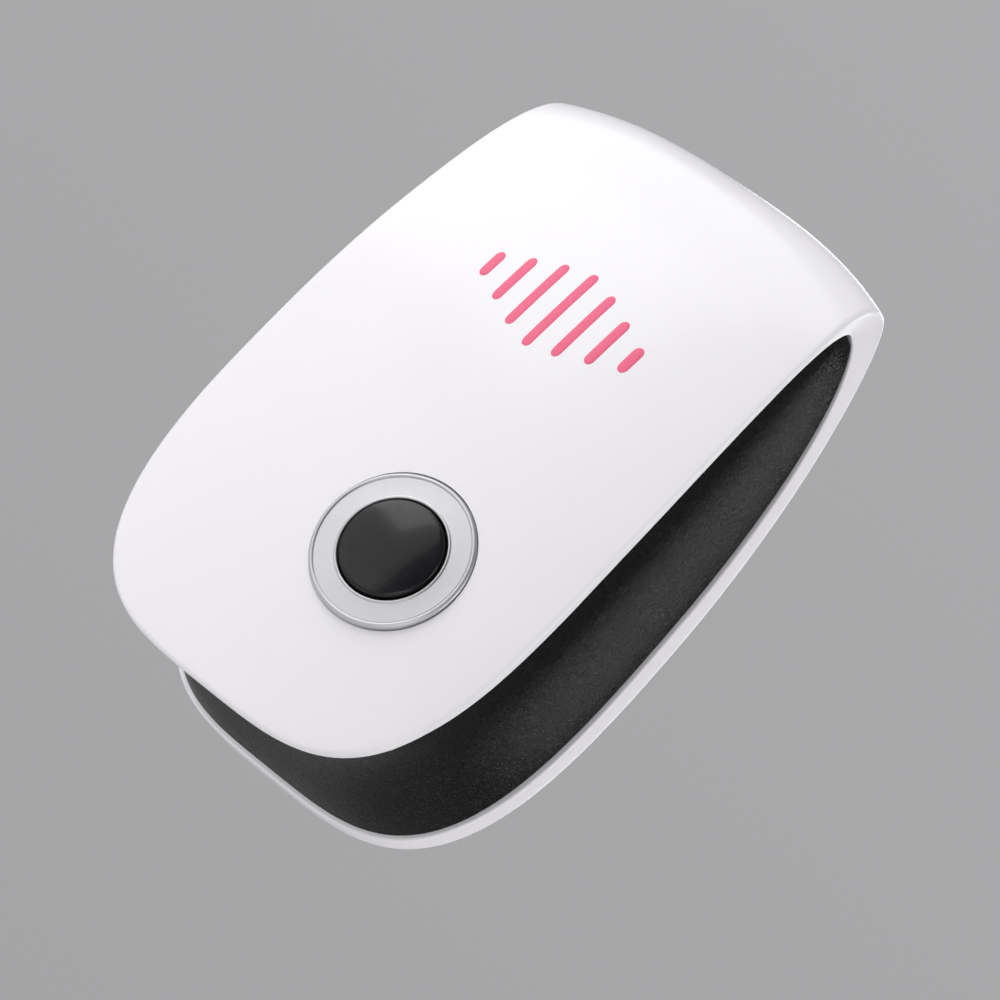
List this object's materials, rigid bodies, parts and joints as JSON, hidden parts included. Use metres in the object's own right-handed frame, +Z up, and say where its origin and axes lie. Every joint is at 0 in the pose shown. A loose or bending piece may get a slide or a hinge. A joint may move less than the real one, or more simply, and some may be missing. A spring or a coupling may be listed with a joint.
{
  "type": "ultrasonic pest repeller",
  "caption": "Plug-in wall device with a white hairpin shell round a hollowed black core, a push button in a silver trim ring, and round plug pins on its back.",
  "frame": {"origin": "middle of the plug block's wall face, between the two pins", "axes": "+X to the right seen from the front, +Y out of the back along the pins into the wall, +Z up"},
  "size_m": [0.07, 0.0672, 0.112],
  "materials": {
    "white_plastic": "glossy white ABS with a very fine moulded texture",
    "black_plastic": "black ABS with a fine spark-eroded grain",
    "ring_metal": "satin silver with bright edges",
    "button_plastic": "polished smoke-black",
    "pin_metal": "nickel-plated brass",
    "sleeve_plastic": "black insulating sleeve",
    "guide_plastic": "natural plastic",
    "component_black": "moulded black",
    "board": "green solder mask",
    "led_lens": "clear tinted lens",
    "film_yellow": "yellow box capacitor",
    "capacitor_sleeve": "shrunk blue sleeve",
    "resistor_body": "coated body",
    "ferrite": "dark ferrite",
    "copper_wire": "enamelled copper",
    "brass": "bright rolled brass",
    "soft_rubber": "soft black ring",
    "lead_insulation": "red insulation",
    "screw_steel": "zinc-plated",
    "label": "blank satin foil"
  },
  "bodies": {
    "case": {"front_shell": "white_plastic", "core_shell": "black_plastic", "rear_cover": "black_plastic", "plug_block": "black_plastic", "pin_left": "pin_metal", "pin_right": "pin_metal", "pin_sleeves": "sleeve_plastic", "trim_ring": "ring_metal", "button_guide": "guide_plastic", "switch_body": "component_black", "circuit_board": "board", "control_chip": "component_black", "indicator_led": "led_lens", "film_capacitor": "film_yellow", "bulk_capacitor": "capacitor_sleeve", "rectifier_diodes": "component_black", "fuse_resistor": "resistor_body", "drive_coil": "ferrite", "coil_winding": "copper_wire", "transducer_housing": "component_black", "piezo_disc": "brass", "transducer_gasket": "soft_rubber", "transducer_leads": "lead_insulation", "pin_straps": "brass", "case_screws": "screw_steel", "shell_screws": "screw_steel", "board_screws": "screw_steel", "rating_label": "label"},
    "button": {"button_cap": "button_plastic"},
    "plunger": {"switch_plunger": "guide_plastic"}
  },
  "joints": [
    {"name": "button_press", "type": "slide", "parent": "case", "child": "button", "axis": [-0.0502, 0.9981, -0.0349], "range_m": [0, 0.0008], "stiffness_N_per_m": 800},
    {"name": "plunger_press", "type": "slide", "parent": "case", "child": "plunger", "axis": [0, 1, 0], "range_m": [0, 0.0008]}
  ],
  "couplings": [
    {"joint": "plunger_press", "follows": "button_press", "ratio": 1}
  ]
}
